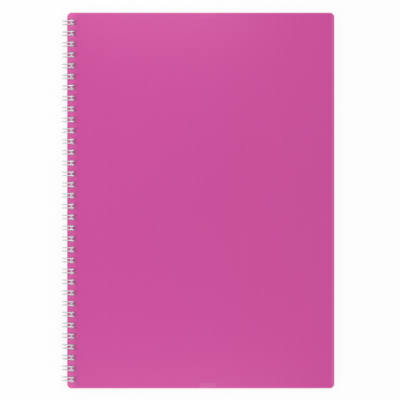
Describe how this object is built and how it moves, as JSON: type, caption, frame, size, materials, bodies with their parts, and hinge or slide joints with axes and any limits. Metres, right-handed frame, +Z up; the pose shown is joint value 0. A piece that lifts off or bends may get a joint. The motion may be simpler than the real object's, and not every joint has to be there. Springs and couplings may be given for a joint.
{
  "type": "notebook",
  "caption": "Wire-bound notebook: two punched plastic covers and a pad of paper leaves on one twin-loop wire. The cover and the leaves turn over about the binding.",
  "frame": {"origin": "on the table, at the middle of the footprint of the closed notebook", "axes": "+X from the binding towards the fore edge, +Y towards the head, +Z up, out of the front cover"},
  "size_m": [0.2132, 0.294, 0.0115],
  "materials": {
    "cover_plastic": "satin polypropylene with fine lines",
    "paper": "uncoated writing paper",
    "wire": "bright silver wire"
  },
  "bodies": {
    "pad_back": {"back_cover": "cover_plastic", "leaf_bundle_7": "paper", "leaf_bundle_6": "paper", "leaf_bundle_5": "paper", "binding_wire": "wire"},
    "front_cover": {"front_cover": "cover_plastic"},
    "first_leaf": {"first_leaf": "paper"},
    "leaf_bundle_1": {"leaf_bundle_1": "paper"},
    "leaf_bundle_2": {"leaf_bundle_2": "paper"},
    "leaf_bundle_3": {"leaf_bundle_3": "paper"},
    "leaf_bundle_4": {"leaf_bundle_4": "paper"}
  },
  "joints": [
    {"name": "front_cover_hinge", "type": "hinge", "parent": "pad_back", "child": "front_cover", "pos_m": [-0.10252, 0, 0.00577], "axis": [0, -1, 0], "range_deg": [0, 180]},
    {"name": "first_leaf_hinge", "type": "hinge", "parent": "pad_back", "child": "first_leaf", "pos_m": [-0.10252, 0, 0.00577], "axis": [0, -1, 0], "range_deg": [0, 171]},
    {"name": "leaf_bundle_1_hinge", "type": "hinge", "parent": "pad_back", "child": "leaf_bundle_1", "pos_m": [-0.10252, 0, 0.00577], "axis": [0, -1, 0], "range_deg": [0, 144]},
    {"name": "leaf_bundle_2_hinge", "type": "hinge", "parent": "pad_back", "child": "leaf_bundle_2", "pos_m": [-0.10252, 0, 0.00577], "axis": [0, -1, 0], "range_deg": [0, 108]},
    {"name": "leaf_bundle_3_hinge", "type": "hinge", "parent": "pad_back", "child": "leaf_bundle_3", "pos_m": [-0.10252, 0, 0.00577], "axis": [0, -1, 0], "range_deg": [0, 72]},
    {"name": "leaf_bundle_4_hinge", "type": "hinge", "parent": "pad_back", "child": "leaf_bundle_4", "pos_m": [-0.10252, 0, 0.00577], "axis": [0, -1, 0], "range_deg": [0, 36]}
  ],
  "couplings": [
    {"joint": "first_leaf_hinge", "follows": "front_cover_hinge", "ratio": 0.95},
    {"joint": "leaf_bundle_1_hinge", "follows": "front_cover_hinge", "ratio": 0.8},
    {"joint": "leaf_bundle_2_hinge", "follows": "front_cover_hinge", "ratio": 0.6},
    {"joint": "leaf_bundle_3_hinge", "follows": "front_cover_hinge", "ratio": 0.4},
    {"joint": "leaf_bundle_4_hinge", "follows": "front_cover_hinge", "ratio": 0.2}
  ]
}
